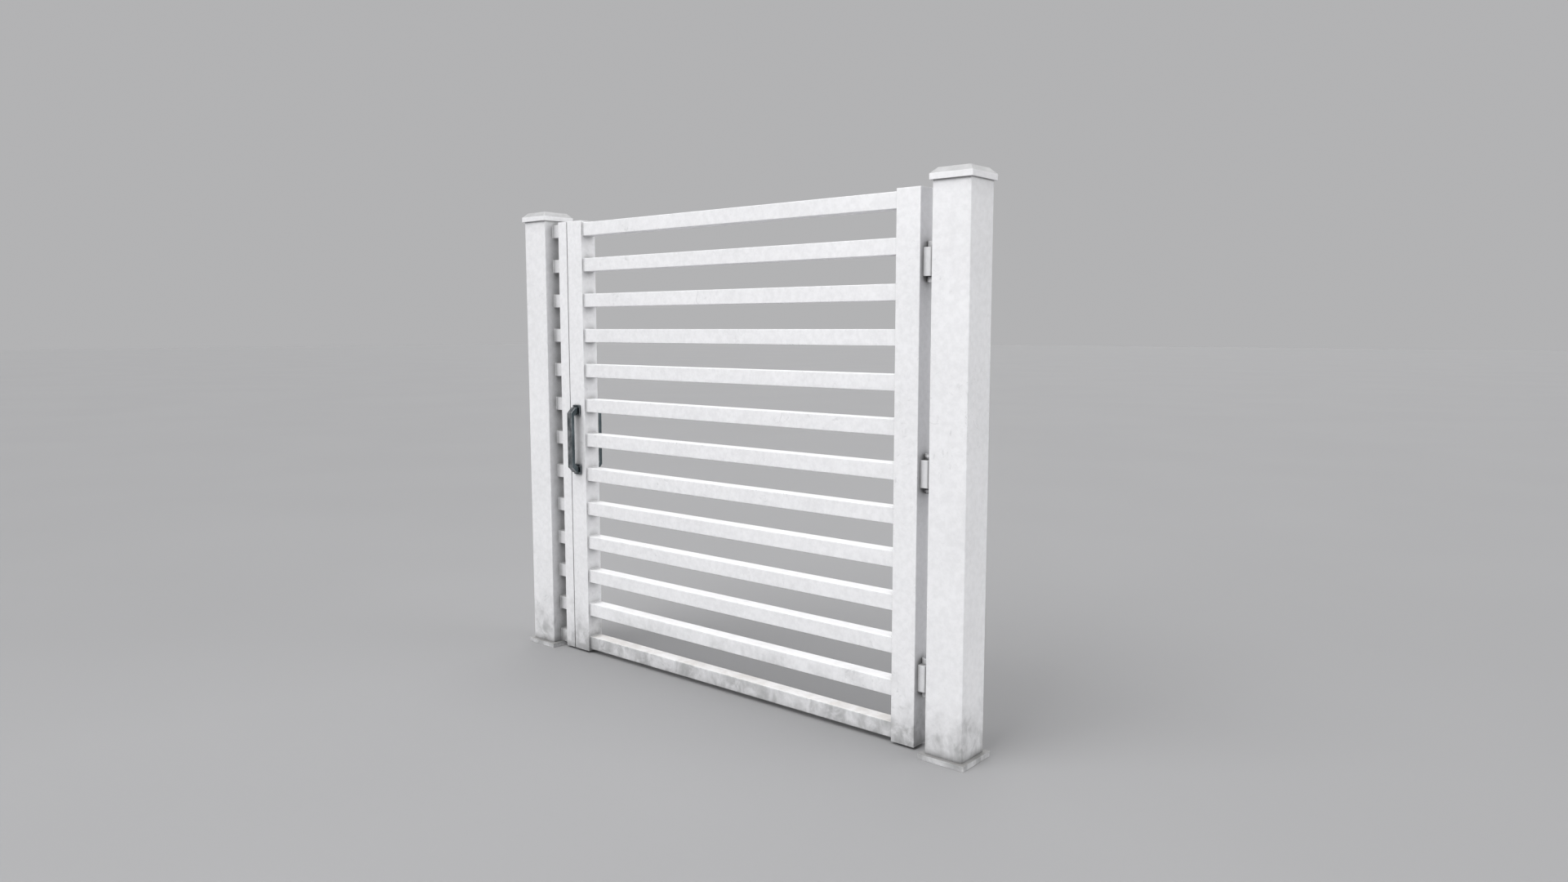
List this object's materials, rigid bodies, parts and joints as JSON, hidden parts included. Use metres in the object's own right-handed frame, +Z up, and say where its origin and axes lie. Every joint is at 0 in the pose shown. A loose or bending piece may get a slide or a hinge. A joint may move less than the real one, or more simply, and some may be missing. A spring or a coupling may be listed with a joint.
{
  "type": "slatted swing gate",
  "caption": "Swing gate of square horizontal rails between two stiles, hung on block hinges between capped square posts, with a pull handle on each face.",
  "frame": {"origin": "on the ground, midway between the two posts and on their centre line", "axes": "+X along the gate from the latch post to the hinge post, +Y through the gate to its rear face, +Z up"},
  "size_m": [1.631, 0.125, 1.381],
  "materials": {
    "white_coat": "satin powder coat, grimy near the ground",
    "cap_coat": "satin powder coat",
    "hinge_coat": "satin powder coat",
    "plug_plastic": "matte",
    "satin_steel": "satin",
    "pin_steel": "bright zinc"
  },
  "bodies": {
    "posts": {"latch_post": "white_coat", "hinge_post": "white_coat", "latch_post_cap": "cap_coat", "hinge_post_cap": "cap_coat", "latch_post_base": "white_coat", "hinge_post_base": "white_coat", "spacer_01": "white_coat", "spacer_02": "white_coat", "spacer_03": "white_coat", "spacer_04": "white_coat", "spacer_05": "white_coat", "spacer_06": "white_coat", "spacer_07": "white_coat", "spacer_08": "white_coat", "spacer_09": "white_coat", "spacer_10": "white_coat", "spacer_11": "white_coat", "spacer_12": "white_coat", "spacer_13": "white_coat", "strike_jamb": "white_coat", "strike_jamb_top_plug": "plug_plastic", "strike_jamb_bottom_plug": "plug_plastic", "hinge_1_bracket": "hinge_coat", "hinge_2_bracket": "hinge_coat", "hinge_3_bracket": "hinge_coat", "hinge_1_pin": "pin_steel", "hinge_2_pin": "pin_steel", "hinge_3_pin": "pin_steel"},
    "leaf": {"latch_stile": "white_coat", "hinge_stile": "white_coat", "rail_01": "white_coat", "rail_02": "white_coat", "rail_03": "white_coat", "rail_04": "white_coat", "rail_05": "white_coat", "rail_06": "white_coat", "rail_07": "white_coat", "rail_08": "white_coat", "rail_09": "white_coat", "rail_10": "white_coat", "rail_11": "white_coat", "rail_12": "white_coat", "rail_13": "white_coat", "latch_stile_top_plug": "plug_plastic", "latch_stile_bottom_plug": "plug_plastic", "hinge_stile_top_plug": "plug_plastic", "hinge_stile_bottom_plug": "plug_plastic", "hinge_1_block": "hinge_coat", "hinge_2_block": "hinge_coat", "hinge_3_block": "hinge_coat", "front_pull": "satin_steel", "rear_pull": "satin_steel", "front_pull_upper_rose": "satin_steel", "front_pull_lower_rose": "satin_steel", "rear_pull_upper_rose": "satin_steel", "rear_pull_lower_rose": "satin_steel", "pull_upper_bolt": "pin_steel", "pull_lower_bolt": "pin_steel"}
  },
  "joints": [
    {"name": "leaf_swing", "type": "hinge", "parent": "posts", "child": "leaf", "pos_m": [0.669, 0.007, 0.6765], "axis": [0, 0, 1], "range_deg": [-90, 50]}
  ]
}
